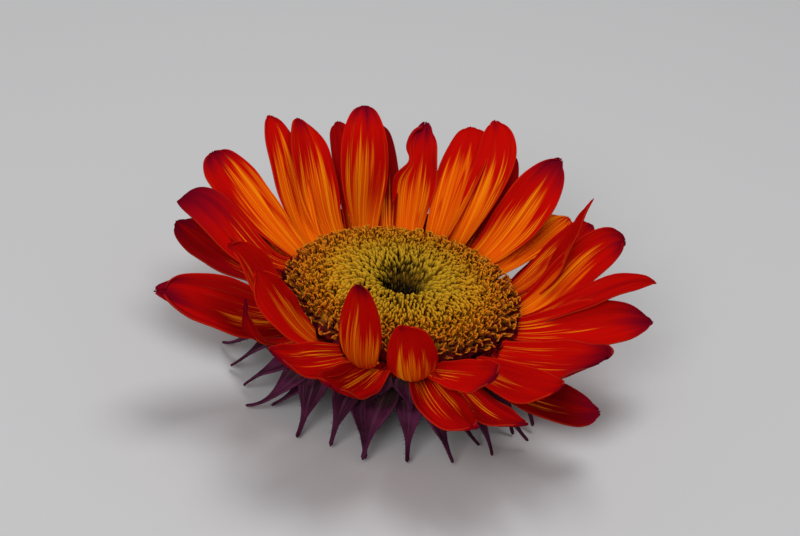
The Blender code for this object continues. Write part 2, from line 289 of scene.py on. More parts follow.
@dataclass(frozen=True)
class PetalSkin:
    """Living petal: red, streaked orange and yellow from the root, with a maroon tip."""

    red: Colour = (0.54, 0.0034, 0.0018)
    deep_red: Colour = (0.2, 0.0012, 0.003)
    maroon: Colour = (0.16, 0.0015, 0.011)
    orange: Colour = (0.8, 0.1, 0.002)
    yellow: Colour = (0.9, 0.25, 0.004)
    # Painted highlight colour for the petals' edges.
    rim: Colour = (0.75, 0.1, 0.02)

    def material(self) -> bpy.types.Material:
        """The petal's material, which reads the traits that each petal carries."""
        graph = Graph("petal_skin")
        across, along, lot = map(graph.trait, ("across", "along", "lot"))
        gold, reach, side, dark, tone_and_shade, solid = map(graph.trait, LOOK_TRAITS)
        wander = graph.noise(graph.vector(across * 2.5, along * 1.2, lot), detail=1) - 0.5
        band = graph.noise(graph.vector(across * 5, along * 0.5, lot + 7), detail=1) - 0.5
        thread = graph.noise(graph.vector(across * 26, along * 1.2, lot + 13), detail=2) - 0.5
        parting = graph.noise(graph.vector(across * 2.6, along * 0.7, lot + 31), detail=0) - 0.5
        off_middle = abs(across - side)
        spread = gold + 0.35 - along * 0.55
        inside = 1 - (off_middle + wander * 0.5 + thread * 0.35).step(spread - 0.12, spread + 0.08)
        end = reach + band * 0.8 + thread * 0.35 - off_middle * off_middle * 0.35
        golden = inside * (1 - along.step(end - 0.17, end + 0.03))
        groove = (1 - abs(parting).step(0.006, 0.04)) * along.step(0.05, 0.4)
        golden = golden * (1 - groove * 0.9)
        golden = golden * (solid + (1 - solid) * thread.step(0.06, 0.14))
        # Yellow where the ridges rise: partly the petals' own yellow streaks, partly painted highlights
        # on the ridges.
        ridge_highlights = band * 0.5 + thread * 1.1
        yellow = golden * ridge_highlights.step(0.0, 0.14)
        vein = golden * (1 - thread.step(-0.18, -0.06)) * (0.12 + along * 0.55)
        spill = reach + 0.3 + band
        faint = thread.step(0.1, 0.2) * (1 - along.step(spill - 0.3, spill)) * band.step(-0.1, 0.1)
        near_tip = (along + wander * 0.3 + thread * 0.15).step(0.99 - dark * 0.3, 1.03 - dark * 0.04)
        beside = (abs(across) + wander * 0.6).step(0.45 + dark * 0.25, 0.95 + dark * 0.3)
        colour = graph.paint(
            self.red,
            # Deep red: partly the petals' own deeper red, partly painted shade on petals behind or
            # under others.
            ((tone_and_shade + wander * 0.8 + thread * 0.5).step(0.0, 1.0), self.deep_red),
            (faint * (0.12 + solid * 0.38), self.orange),
            (golden, self.orange),
            (yellow, self.yellow),
            (vein, self.red),
            (near_tip * (1 - beside) * dark.step(0.0, 0.7), self.maroon),
            # Painted highlight: a faint paler line along each petal's edges.
            (abs(across).step(0.95, 1.0) * 0.15, self.rim),
        )
        relief = band * 0.5 + thread * 0.4
        return graph.finish(colour, 0.55 + band * 0.3, relief, 0.3 * MM, Specular_IOR_Level=0.0)


@dataclass(frozen=True)
class FloretSkin:
    """Florets: olive in the dimple, with painted shade at its middle, golden round it and orange at the
    edge, with painted highlights paling the tips.
    """

    ripening: tuple[tuple[float, Colour], ...] = (
        # The darkest stops, in the middle, are partly the buds' own olive and partly painted shade in
        # the dimple.
        (0.0, (0.025, 0.014, 0.005)),
        (0.1, (0.09, 0.055, 0.008)),
        (0.16, (0.26, 0.155, 0.01)),
        (0.24, (0.34, 0.19, 0.01)),
        (0.4, (0.4, 0.2, 0.01)),
        (0.6, (0.57, 0.235, 0.009)),
        (0.8, (0.72, 0.21, 0.008)),
        (1.0, (0.64, 0.12, 0.01)),
    )
    root: Colour = (0.54, 0.23, 0.009)
    hollow: Colour = (0.25, 0.165, 0.015)
    # Painted highlight colour for the tips.
    tip_highlight: Colour = (0.88, 0.52, 0.025)

    def material(self) -> bpy.types.Material:
        """The florets' material, which reads how ripe each is and how near its tips a point lies."""
        graph = Graph("floret_skin")
        ripe, tip, lot = map(graph.trait, ("ripe", "tip", "lot"))
        grain = graph.noise(graph.place(), 900)
        colour = graph.add(
            "ShaderNodeValToRGB", {"stops": self.ripening}, {0: ripe + (lot - 0.5) * 0.14}
        )
        below = graph.paint(self.hollow, (ripe.step(0.12, 0.32), self.root))
        # Painted highlights: the tips are paled, most on the inner florets.
        pale = tip.step(0.55, 0.9) * ripe.step(0.14, 0.24) * (1 - ripe.step(0.35, 1.4))
        colour = graph.paint(
            colour,
            ((1 - tip.step(0.05, 0.6)) * 0.8, below),
            (pale * 0.5, self.tip_highlight),
            (grain.step(0.5, 0.8) * 0.2, self.root),
        )
        return graph.finish(colour, 0.5 + grain * 0.2, grain, 0.1 * MM, Specular_IOR_Level=0.02)


@dataclass(frozen=True)
class ChaffSkin:
    """The dark red scales at the disc's edge, and the golden ground with its dimple, which is painted
    near black as shade.
    """

    dark: Colour = (0.045, 0.003, 0.006)
    red: Colour = (0.2, 0.008, 0.012)
    gold: Colour = (0.54, 0.23, 0.009)
    # Painted shade colour for the ground in the dimple.
    dimple: Colour = (0.006, 0.003, 0.002)

    def material(self) -> bpy.types.Material:
        """The chaff's material, which is red where a point is ripe and golden further in."""
        graph = Graph("chaff_skin")
        ripe = graph.trait("ripe")
        grain = graph.noise(graph.place(), 700, 3)
        colour = graph.paint(
            self.dark,
            (grain.step(0.35, 0.7), self.red),
            (1 - ripe.step(0.85, 0.98), self.gold),
            # Painted shade: the ground in the dimple is near black.
            (1 - ripe.step(0.17, 0.26), self.dimple),
        )
        return graph.finish(colour, 0.6 + grain * 0.2, grain, 0.2 * MM, Specular_IOR_Level=0.05)


@dataclass(frozen=True)
class BractSkin:
    """Leafy bract: dull purple with pale veins, greener towards its root and on the cup, all darkened
    as painted shade under the bloom.
    """

    # These colours are darkened to paint the shade that falls under the bloom.
    purple: Colour = (0.04, 0.005, 0.02)
    mauve_and_highlight: Colour = (0.11, 0.018, 0.06)
    green: Colour = (0.035, 0.026, 0.013)
    vein: Colour = (0.14, 0.05, 0.08)

    def material(self) -> bpy.types.Material:
        """The bract's material, which reads the traits that each bract carries."""
        graph = Graph("bract_skin")
        across, along, lot = map(graph.trait, ("across", "along", "lot"))
        patch = graph.noise(graph.place(), 160, 3)
        line = graph.noise(graph.vector(across * 12, along * 1.5, lot), detail=1)
        colour = graph.paint(
            self.purple,
            # Mauve patches here and at the edges below: partly the bract's own lighter tone, partly
            # painted highlights.
            (patch.step(0.35, 0.7), self.mauve_and_highlight),
            (1 - (along + (patch - 0.5) * 0.5).step(0.0, 0.42), self.green),
            (line.step(0.55, 0.66) * 0.45 * (1 - along.step(0.5, 0.95)), self.vein),
            ((1 - abs(across).step(0.02, 0.12)) * 0.5, self.vein),
            (abs(across).step(0.88, 1.0) * 0.5, self.mauve_and_highlight),
        )
        relief, roughness = line + patch * 0.5, 0.55 + patch * 0.25
        return graph.finish(colour, roughness, relief, 0.25 * MM, Specular_IOR_Level=0.06)


@dataclass(frozen=True)
class StemSkin:
    """Stem and cup: green with purple flushes, and pale pith where the stem is cut."""

    green: Colour = (0.11, 0.135, 0.045)
    pale: Colour = (0.2, 0.22, 0.09)
    purple: Colour = (0.08, 0.03, 0.055)
    pith: Colour = (0.6, 0.57, 0.42)
    bundle: Colour = (0.22, 0.25, 0.1)
    pith_radius: float = 5.3

    def material(self) -> bpy.types.Material:
        """The stem's material, which turns to pith on the cut face."""
        graph = Graph("stem_skin")
        place = graph.place()
        patch = graph.noise(place, 140, 3)
        grain = graph.noise(place, 1100, 2)
        height = graph.part(place, 2)
        flush = (height + (patch - 0.5) * 6 * MM).step(4 * MM, 12 * MM)
        cut = 1 - height.step(0.05 * MM, 0.3 * MM)
        edge = self.pith_radius * MM
        inside = 1 - self._radius(graph, place).step(edge, edge + 0.4 * MM)
        colour = graph.paint(
            self.green,
            (patch.step(0.4, 0.7), self.pale),
            (flush * 0.75, self.purple),
            (grain.step(0.55, 0.75) * 0.3, self.pale),
            (cut * 0.8, self.bundle),
            (cut * inside, self.pith),
        )
        return graph.finish(colour, 0.55 + patch * 0.2, grain, 0.15 * MM, Specular_IOR_Level=0.08)

    @staticmethod
    def _radius(graph: Graph, place: Signal) -> Signal:
        """How far a point is from the stem's axis."""
        level = graph.vector(graph.part(place, 0), graph.part(place, 1), 0.0)
        return graph.add("ShaderNodeVectorMath", {"operation": "LENGTH"}, {0: level}, output=1)


@dataclass(frozen=True)
class Outline:
    """How a blade's width runs from its root to its tip, as shares of the length and the width.

    fall holds the two powers by which the width falls off for a round tip, and for a pointed one.
    """

    root: float
    widest_at: float
    tip: float
    fall: tuple[Pair, Pair]

    def share(self, s: float, point: float) -> float:
        """The width at a place along the blade.

        Args:
            s: the place, from 0 at the root to 1 at the tip.
            point: 0 for a round tip and 1 for a pointed one.

        Returns:
            The width as a share of the full width.
        """
        if s < self.widest_at:
            return self.root + (1 - self.root) * math.sin(math.pi / 2 * s / self.widest_at) ** 1.3
        past = min((s - self.widest_at) / (1 - self.widest_at), 1)
        start, end = (mix(pair, point) for pair in zip(*self.fall))
        return self.tip + (1 - self.tip) * (1 - past**start) ** end


class BladeKind(Enum):
    """The two kinds of blade, each with its outline."""

    PETAL = Outline(root=0.6, widest_at=0.5, tip=0.12, fall=((2.6, 0.6), (1.7, 1)))
    BRACT = Outline(root=0.85, widest_at=0.25, tip=0.08, fall=((1.7, 3.3), (1.7, 3.3)))


@dataclass(frozen=True)
class Blade:
    """A petal or a bract along its own bent middle line, in millimetres and degrees.

    rise is the slope above level at the root, half way and at the tip, yaw turns the line
    counter-clockwise at the root and the tip, twist turns the blade about its line at both ends,
    and cup is half the angle of the channel across it at both ends. taper narrows the outer part
    by that share at the tip, and point is 0 for a round tip and 1 for a pointed one. pinch is the
    share by which the counter-clockwise side is drawn in at one place along the blade.
    """

    azimuth: float
    length: float
    width: float
    rise: tuple[float, float, float]
    yaw: Pair = (0, 0)
    twist: Pair = (0, 0)
    cup: Pair = (60, 20)
    taper: float = 0
    point: float = 0
    pinch: float = 0
    pinch_at: float = 0.66
    pinch_spread: float = 0.1
    root_radius: float = 30.3
    root_z: float = 20.2

    def middle_line(self, steps: int) -> list[tuple[Vector, Vector, Vector, Vector]]:
        """Follows the blade's middle from its root.

        Args:
            steps: how many steps the line has.

        Returns:
            Each point, with its forward, side and face directions.
        """
        azimuth = math.radians(self.azimuth)
        outward = round_about(azimuth)
        beside = round_about(azimuth + math.pi / 2)
        point = outward * self.root_radius * MM + UP * self.root_z * MM
        line = []
        last = None
        for step in range(steps + 1):
            s = step / steps
            root, half, tip = self.rise
            slope = root * (1 - s) * (1 - 2 * s) + 4 * half * s * (1 - s) + tip * s * (2 * s - 1)
            slope = math.radians(slope)
            turn = math.radians(mix(self.yaw, s))
            level = outward * math.cos(turn) + beside * math.sin(turn)
            forward = level * math.cos(slope) + UP * math.sin(slope)
            if last is not None:
                point = point + (forward + last).normalized() * self.length * MM / steps
            last = forward
            side = beside * math.cos(turn) - outward * math.sin(turn)
            side = Matrix.Rotation(math.radians(mix(self.twist, s)), 3, forward) @ side
            line.append((point.copy(), forward, side, forward.cross(side)))
        return line

    def section(self, kind: BladeKind, s: float, across: float) -> Pair:
        """Where a point of the curved section across the blade lies.

        Args:
            kind: the blade's kind, which has its outline.
            s: the place along the blade, from 0 to 1.
            across: the place across it, from -1 to 1.

        Returns:
            How far it lies beside the middle line and how far above it, in metres.
        """
        narrowed = 1 - self.taper * smoothstep((s - 0.4) / 0.6)
        half_width = self.width * MM / 2 * kind.value.share(s, self.point) * narrowed
        arc = max(math.radians(mix(self.cup, min(1, s / 0.8))), 0.02)
        beside = half_width / arc * math.sin(arc * across)
        if across > 0:
            off = (s - self.pinch_at) / self.pinch_spread
            beside *= 1 - self.pinch * math.exp(-(off**2))
        return beside, half_width / arc * (1 - math.cos(arc * across))


@dataclass(frozen=True)
class Look:
    """How a petal is coloured and edged.

    gold is the half width of its golden part as a share of the petal's own, reach how far along
    that runs, side how far it lies towards the counter-clockwise edge, and solid is 0 where it is
    only thin streaks and 1 where it is one band. tip is how dark the tip is and shade how dark the
    red: partly the petal's own deeper red and partly painted shade on petals that lie behind or
    under others. ruffle is the height of the waves at its edges in millimetres, and teeth the depth
    of the notches in its tip as a share of its length.
    """

    gold: float = 0.6
    reach: float = 0.7
    side: float = 0
    tip: float = 0.6
    shade: float = 0.2
    solid: float = 1
    ruffle: float = 0.3
    teeth: float = 0.012


def trait_layer(shape: bmesh.types.BMesh, name: str) -> bmesh.types.BMLayerItem:
    """The layer that holds one number at each point of a mesh."""
    floats = shape.verts.layers.float
    return floats.get(name) or floats.new(name)


@dataclass
class Sheet:
    """A finely cut open sheet that is bent into a blade."""

    blade: Blade
    kind: BladeKind
    rows: int
    columns: int
    keep_clear: Callable[[Vector], Vector]
    relief: Callable[[float, float], float]
    notch: Callable[[float], float]

    def build(self, shape: bmesh.types.BMesh, traits: dict[str, float]) -> None:
        """Adds the blade to a mesh, with its traits at each point.

        Args:
            shape: the mesh.
            traits: the numbers that are the same all over the blade.
        """
        steps = 4 * self.rows
        line = self.blade.middle_line(steps)
        layers = {name: trait_layer(shape, name) for name in ("across", "along", *traits)}
        grid = bmesh.ops.create_grid(shape, x_segments=self.columns, y_segments=self.rows, size=1)
        for vertex in grid["verts"]:
            across = vertex.co.x
            s = 1 - (0.5 - vertex.co.y / 2) ** 1.25
            drawn_back = 0.03 * abs(across) ** 1.8 + self.notch(across)
            at = (s - drawn_back * s**4) * steps
            first = min(int(at), steps - 1)
            point, _, side, face = (
                a.lerp(b, at - first) for a, b in zip(line[first], line[first + 1])
            )
            beside, lifted = self.blade.section(self.kind, s, across)
            lifted += self.relief(across, s) * MM
            vertex.co = self.keep_clear(point + side * beside + face * lifted)
            vertex[layers["across"]] = across
            vertex[layers["along"]] = s
            for name, value in traits.items():
                vertex[layers[name]] = value


def turned(
    shape: bmesh.types.BMesh, profile: Iterable[Pair], steps: int
) -> list[bmesh.types.BMVert]:
    """Spins a profile once round the Z axis.

    Args:
        shape: the empty mesh that it is added to.
        profile: radius and height of each point, in millimetres, from the top down.
        steps: how many sides it gets.

    Returns:
        The mesh's points.
    """
    points = [shape.verts.new((radius * MM, 0, height * MM)) for radius, height in profile]
    edges = [shape.edges.new(pair) for pair in zip(points, points[1:])]
    bmesh.ops.spin(
        shape,
        geom=[*points, *edges],
        cent=(0, 0, 0),
        axis=(0, 0, 1),
        angle=2 * math.pi,
        steps=steps,
        use_merge=True,
        use_duplicate=False,
    )
    bmesh.ops.remove_doubles(shape, verts=shape.verts, dist=1e-6)
    bmesh.ops.recalc_face_normals(shape, faces=shape.faces)
    return list(shape.verts)


def tube(
    shape: bmesh.types.BMesh,
    sides: int,
    rings: int,
    place: Callable[[float, float, float], Vector],
) -> list[bmesh.types.BMVert]:
    """Adds a closed tube that follows a formula.

    Args:
        shape: the mesh that it is added to.
        sides: how many sides it has.
        rings: how many lengths it is cut into.
        place: gives the point at a share of the length and a place across, x and y up to 1.

    Returns:
        The tube's points.
    """
    before = len(shape.verts)
    ends = bmesh.ops.create_cone(
        shape, cap_ends=True, cap_tris=False, segments=sides, radius1=1, radius2=1, depth=1
    )["verts"]
    edges = {edge for vertex in ends for edge in vertex.link_edges}
    long_edges = [edge for edge in edges if abs(edge.verts[0].co.z - edge.verts[1].co.z) > 0.5]
    if rings > 1:
        bmesh.ops.subdivide_edges(shape, edges=long_edges, cuts=rings - 1)
    made = list(shape.verts)[before:]
    for vertex in made:
        vertex.co = place(vertex.co.z + 0.5, vertex.co.x, vertex.co.y)
    return made


def spike(
    shape: bmesh.types.BMesh,
    foot: Vector,
    way: Vector,
    length: float,
    radii: Pair = (0.07, 0.015),
    sides: int = 3,
    middle: float = 0.4,
) -> list[bmesh.types.BMVert]:
    """Adds one tapering spike, which is a fine hair unless it is given other sizes.

    Args:
        shape: the mesh that it is added to.
        foot: where it grows from, in metres.
        way: the direction it grows in.
        length: how long it is, in metres.
        radii: how thick it is at its foot and its tip, in millimetres.
        sides: how many sides it has.
        middle: how far out its middle lies, as a share of its length.

    Returns:
        The spike's points.
    """
    turn = way.to_track_quat("Z", "Y").to_matrix().to_4x4()
    return bmesh.ops.create_cone(
        shape,
        cap_ends=True,
        cap_tris=False,
        segments=sides,
        radius1=radii[0] * MM,
        radius2=radii[1] * MM,
        depth=length,
        matrix=Matrix.Translation(foot + way * length * middle) @ turn,
    )["verts"]


def put(name: str, data: bpy.types.ID) -> bpy.types.Object:
    """Puts a mesh, lamp or camera into the scene as an object."""
    thing = bpy.data.objects.new(name, data)
    bpy.context.scene.collection.objects.link(thing)
    return thing


def make_piece(
    name: str,
    shape: bmesh.types.BMesh,
    node: str,
    skin: bpy.types.Material,
    wall: float = 0,
) -> bpy.types.Object:
    """Turns a finished mesh into a piece that stands for a node.

    Args:
        name: the piece's name.
        shape: its mesh, which is freed.
        node: the solid that it stands for.
        skin: its material.
        wall: how thick an open sheet is made, in metres, or 0 for a closed shape.

    Returns:
        The piece.
    """
    mesh = bpy.data.meshes.new(name)
    shape.to_mesh(mesh)
    shape.free()
    mesh.shade_smooth()
    mesh.materials.append(skin)
    piece = put(name, mesh)
    if wall:
        solid = piece.modifiers.new("wall", "SOLIDIFY")
        solid.thickness = wall
        solid.offset = 0
    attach(piece, "root")
    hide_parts(node)
    LOG.info("%s: %d faces for %s", name, len(mesh.polygons), node)
    return piece


@dataclass
class PetalRing:
    """The ray petals on their ring.

    Each petal's form was fitted to points picked along its edges in the photograph, and a few
    were then corrected. Those at 71, 84 and 123 degrees are short petals under the far ones, where
    narrow gaps between the roots would show the floor. The fields clear_above and clear_radius say
    where a petal would lean into the disc.
    """

    thickness: float = 0.36
    rows: int = 60
    columns: int = 28
    ribs: int = 7
    rib_height: float = 0.07
    ring: tuple[Pair, ...] = (
        (28.5, 21.3), (30.6, 21.3), (31.3, 20.6), (31.6, 19.1), (28.5, 19.1), (28.5, 21.3)
    )
    ring_sides: int = 96
    ring_shade: float = 1.4
    clear_above: float = 21.3
    clear_radius: float = 30.65
    petals: tuple[tuple[Blade, Look], ...] = (
        (Blade(358, 41.3, 7.9, (18, 27, -32), (5, 42), (4, 18), taper=0.18, point=0.02),
         Look(0.5, 0.45, 0, 0.2, 0.4, 0.1)),
        (Blade(7, 39.9, 11.3, (12, 41, -40), (19, 44), (13, 53), point=0.02),
         Look(0.45, 0.72, 0, 0.9, 0.2, 1, 0.3, 0.03)),
        (Blade(19, 37.8, 7.9, (4, 76, 58), (-12, 19), (5, -3), (70, 60), taper=0.59, point=0.31),
         Look(0.6, 0.6, -0.1, 0.2, 0.2, 0.4)),
        (Blade(24, 36.2, 9.2, (19, 30, -25), (6, 46), (0, 20), point=0.31),
         Look(0.5, 0.6, 0.1, 0.6, 0.5, 0.3)),
        (Blade(30, 34.4, 9, (-39, 16, -7), (20, 40), (-8, -10), point=0.8),
         Look(0.6, 0.75, -0.1, 0.2, 0.45, 0.8)),
        (Blade(42, 36.5, 11.3, (16, 12, -7), (4, 23), (-3, 8)), Look(1.1, 1.1, 0, 0, 0.3)),
        (Blade(54, 41.4, 14.3, (16, 44, 8), (-13, 13), (5, 30), taper=0.03, point=0.44),
         Look(0.75, 0.62, -0.1, 1.1, 0.1)),
        (Blade(61, 40.6, 9, (8, 39, -11), (-2, 27), (0, 10), taper=0.2, point=0.21),
         Look(0.8, 0.3, 0, 0.4, 0.7)),
        # The short petals at 71, 84 and 123 degrees are painted dark red, as shade seen through the
        # gaps.
        (Blade(71, 18, 8, (8, 16, 0), (-6, 0), cup=(30, 20), point=0.3), Look(0.9, 0.5, 0, 0, 0.7)),
        (Blade(66, 48, 11.5, (62, 32, 4), (-16, 40), (-20, -2)), Look(0.85, 0.58, -0.1, 0.35, 0.1)),
        (Blade(76, 46.5, 13.8, (56, 28, -10), (-6, 18), (-25, -10), taper=0.12, point=0.15),
         Look(0.85, 0.72, 0, 0.2, 0.15)),
        (Blade(84, 15, 8, (6, 14, 0), (0, 0), cup=(30, 20), point=0.3), Look(0.9, 0.4, 0, 0, 0.9)),
        (Blade(90, 37.7, 13, (14, 55, 9), (5, -2), (-21, -14), taper=0.2, pinch=0.5),
         Look(0.85, 0.64, 0, 0.9, 0.2, 1, 1, 0.04)),
        (Blade(101, 42.6, 7.5, (22, 35, -16), (1, 2), (-13, 11), taper=0.24, point=0.25),
         Look(0.5, 0.4, 0, 0.4, 0.9, 0.5)),
        (Blade(114, 41.5, 14.4, (44, 70, -20), (5, -20), (22, -14), taper=0.19, point=0.23),
         Look(0.85, 0.66, -0.05, 0.8, 0.15)),
        (Blade(120, 42.8, 9.8, (34, 29, -5), (-18, -11), (22, -6)), Look(0.5, 0.45, 0, 0.3, 0.65, 0.5)),
        (Blade(123, 17, 8, (8, 16, 0), (0, -6), cup=(30, 20), point=0.3), Look(0.9, 0.5, 0, 0, 0.7)),
        (Blade(129, 39.9, 13.2, (18, 52, -7), (7, -20), (-13, 21), taper=0.12),
         Look(0.9, 0.7, 0.1, 0.5, 0.15)),
        (Blade(142, 44.2, 11.1, (18, 45, -8), (-8, -30), (-1, 6), taper=0.18, point=0.02),
         Look(0.75, 0.84, -0.05, 0.4, 0.25)),
        (Blade(153, 45.3, 13.4, (28, 21, -13), (11, -41), (-6, -29), point=0.06),
         Look(0.75, 0.8, -0.3, 0.9, 0.2)),
        (Blade(161, 31, 11, (-6, 18, -18), (6, -34), (-6, -20), (30, 15), point=0.1),
         Look(0.6, 0.8, 0, 0.5, 0.4, 0)),
        (Blade(165, 40.9, 11.8, (-16, 34, -59), (16, -32), (-27, -23), taper=0.05),
         Look(0.45, 0.55, -0.3, 1.9, 0.2, 0)),
        (Blade(177, 36.9, 11, (-5, 12, -12), (1, -49), (-15, -32), taper=0.07),
         Look(0.2, 0.4, 0, 0.8, 0.75, 0)),
        (Blade(208, 39.1, 17.9, (-1, 27, 12), (7, -2), (-36, -19), taper=0.14),
         Look(0.35, 0.45, 0.1, 0.9, 0.45, 0, 0.3, 0.03)),
        (Blade(213, 31.6, 17.9, (19, 64, 32), (-17, 3), (-19, -31), point=1),
         Look(0.5, 0.75, 0.2, 0.3, 0.1, 0.1)),
        (Blade(225, 38.2, 5.6, (-12, 44, 75), (-4, 39), (6, 8), taper=0.58, point=0.32),
         Look(0.3, 0.6, 0.3, 1, 0.6, 0)),
        (Blade(236, 32.6, 12.6, (33, 52, 65), (-7, -57), (-13, -50), taper=0.08, point=0.23),
         Look(0.35, 0.72, -0.35, 0.3, 0.1, 0.5)),
        (Blade(250, 37.8, 13.5, (22, 24, 56), (-7, -16), (-20, -10), taper=0.12),
         Look(0.4, 0.5, -0.3, 1.1, 0.4, 0)),
        (Blade(260, 42.6, 11.3, (12, 76, 36), (-7, 2), (8, -5), taper=0.38, point=0.17),
         Look(1.05, 0.62, 0, 0.7, 0.1, 1, 0.1)),
        (Blade(265, 35.7, 13.6, (7, 22, 49), (-17, -9), (-5, -9), taper=0.02, point=0.01),
         Look(0.4, 0.5, 0, 0.5, 0.5, 0)),
        (Blade(282, 40, 12.8, (2, 62, 38), (-10, -42), (12, 28), taper=0.2),
         Look(0.62, 0.66, 0.1, 0.3, 0.1, 1, 0.1)),
        (Blade(284, 36.8, 12.4, (3, 12, 40), (3, 18), (7, 11), taper=0.19, point=0.17),
         Look(0.5, 0.6, 0.1, 0.6, 0.4, 0, 0.3, 0.04)),
        (Blade(288, 37, 11, (24, 33, 42), (30, -10), (18, 55), point=0.2),
         Look(0.3, 0.4, 0, 1.3, 0.15, 0)),
        (Blade(299, 37.8, 11.2, (-12, 16, 38), (-4, 8), (-6, 7), taper=0.09, point=0.57),
         Look(0.35, 0.5, 0, 0.6, 0.55, 0)),
        (Blade(308, 34.4, 12.8, (12, 18, 62), (20, -7), (13, 24), taper=0.02, point=0.15),
         Look(0.5, 0.34, 0, 0.5, 0.3, 0.3)),
        (Blade(316, 34.5, 12.6, (-16, -7, -17), (-2, 77), (6, 31)), Look(0.4, 0.7, 0, 0.9, 0.8, 0)),
        (Blade(325, 41.5, 16.1, (-5, 33, 46), (28, -46), (16, 29), taper=0.11),
         Look(0.5, 0.4, 0, 2, 0.15, 0, 0.4, 0.05)),
        (Blade(350, 39.8, 14.8, (12, 10, -27), (2, 55), (16, 35), taper=0.27, point=0.36),
         Look(0.55, 0.35, -0.1, 1.2, 0.2, 0)),
    )

    def keep_clear(self, point: Vector) -> Vector:
        """A petal's point, moved out where it would lean into the disc."""
        level = Vector((point.x, point.y, 0))
        if point.z > self.clear_above * MM and level.length < self.clear_radius * MM:
            level = level.normalized() * self.clear_radius * MM
        return Vector((level.x, level.y, point.z))

    def _petal(self, blade: Blade, look: Look, skin: bpy.types.Material) -> None:
        """Builds one petal.

        Args:
            blade: its form.
            look: its colouring and its edges.
            skin: the petals' material.
        """
        draw = random.Random(blade.azimuth)
        waves = draw.uniform(2.0, 3.2)
        phases = (draw.uniform(*ANY_TURN), draw.uniform(*ANY_TURN))
        tooth = draw.uniform(-0.6, 0.6)

        def relief(across: float, s: float) -> float:
            """Ribs along the petal and waves at its edges."""
            rib = math.cos(math.pi * self.ribs * across) * self.rib_height * smoothstep(s * 4)
            phase = phases[0] if across > 0 else phases[1]
            wave = math.sin(2 * math.pi * waves * s + phase) * look.ruffle
            return rib * (1 - 0.5 * s) + wave * abs(across) ** 2.5 * smoothstep(s * 1.6)

        def notch(across: float) -> float:
            """Small teeth in the tip."""
            return look.teeth * (1 - math.cos(math.pi * 3.4 * across + tooth))

        shape = bmesh.new()
        sheet = Sheet(
            blade, BladeKind.PETAL, self.rows, self.columns, self.keep_clear, relief, notch
        )
        traits = {name: getattr(look, name) for name in LOOK_TRAITS}
        sheet.build(shape, {"lot": draw.uniform(0, 50), **traits})
        name = f"petal_{blade.azimuth:03.0f}"
        make_piece(name, shape, "ray_petals", skin, self.thickness * MM)

    def build(self) -> None:
        """Builds the ring and every petal."""
        skin = PetalSkin().material()
        shape = bmesh.new()
        shade = trait_layer(shape, "shade")
        for vertex in turned(shape, self.ring, self.ring_sides):
            vertex[shade] = self.ring_shade
        make_piece("petal_ring", shape, "ray_petals", skin)
        for blade, look in self.petals:
            self._petal(blade, look, skin)


@dataclass(frozen=True)
class Floret:
    """One floret before it is set on the disc, in millimetres, standing up along Z.

    A stalk carries one or two arms that curl over sideways. Each arm is given by the direction it
    leans in, the radius of its curl and how far it curls, in degrees, millimetres and degrees.
    """

    stalk: float
    stalk_radius: float
    arm_radius: float
    arms: tuple[tuple[float, float, float], ...]

    def build(self, shape: bmesh.types.BMesh) -> None:
        """Adds the floret to a mesh, with how near its tips each point lies."""
        tip = trait_layer(shape, "tip")

        def stalk(t: float, x: float, y: float) -> Vector:
            """A point of the stalk."""
            radius = self.stalk_radius * mix((0.75, 1.0), smoothstep(t * 1.4))
            return Vector((x * radius, y * radius, t * self.stalk))

        for vertex in tube(shape, 5, 1, stalk):
            vertex[tip] = 0.5 * vertex.co.z / self.stalk
        for turn, curl_radius, curl in self.arms:
            self._arm(shape, tip, math.radians(turn), curl_radius, math.radians(curl))

    def _arm(
        self, shape: bmesh.types.BMesh, tip: object, turn: float, curl_radius: float, curl: float
    ) -> None:
        """Adds one curled arm.

        Args:
            shape: the floret's mesh.
            tip: the layer that says how near the tips a point lies.
            turn: the direction it curls in, in radians.
            curl_radius: the radius of its curl, in millimetres.
            curl: how far it curls, in radians.
        """
        shares = {}

        def arm(t: float, x: float, y: float) -> Vector:
            """A point of the arm."""
            angle = curl * t
            thick = self.arm_radius * (1 - 0.25 * t)
            out = curl_radius * (1 - math.cos(angle)) + x * thick * math.cos(angle)
            height = self.stalk * 0.92 + curl_radius * math.sin(angle)
            height -= x * thick * math.sin(angle)
            point = round_about(turn) * out + round_about(turn + math.pi / 2) * y * thick
            shares[len(shares)] = t
            return point + UP * height

        for number, vertex in enumerate(tube(shape, 4, 4, arm)):
            vertex[tip] = 0.5 + 0.5 * shares[number]


class FloretStage(Enum):
    """How far a floret has opened: buds in the dimple, upright round it, then open, oldest last."""

    BUD = Floret(0.9, 0.3, 0.26, ((0, 1.1, 60),))
    UPRIGHT = Floret(2.6, 0.3, 0.28, ((0, 1.25, 85),))
    OPENING = Floret(2.6, 0.3, 0.26, ((0, 0.72, 160),))
    OPEN = Floret(2.5, 0.29, 0.22, ((0, 0.45, 270),))
    RIM = Floret(2.9, 0.27, 0.19, ((0, 0.52, 265), (150, 0.4, 170)))


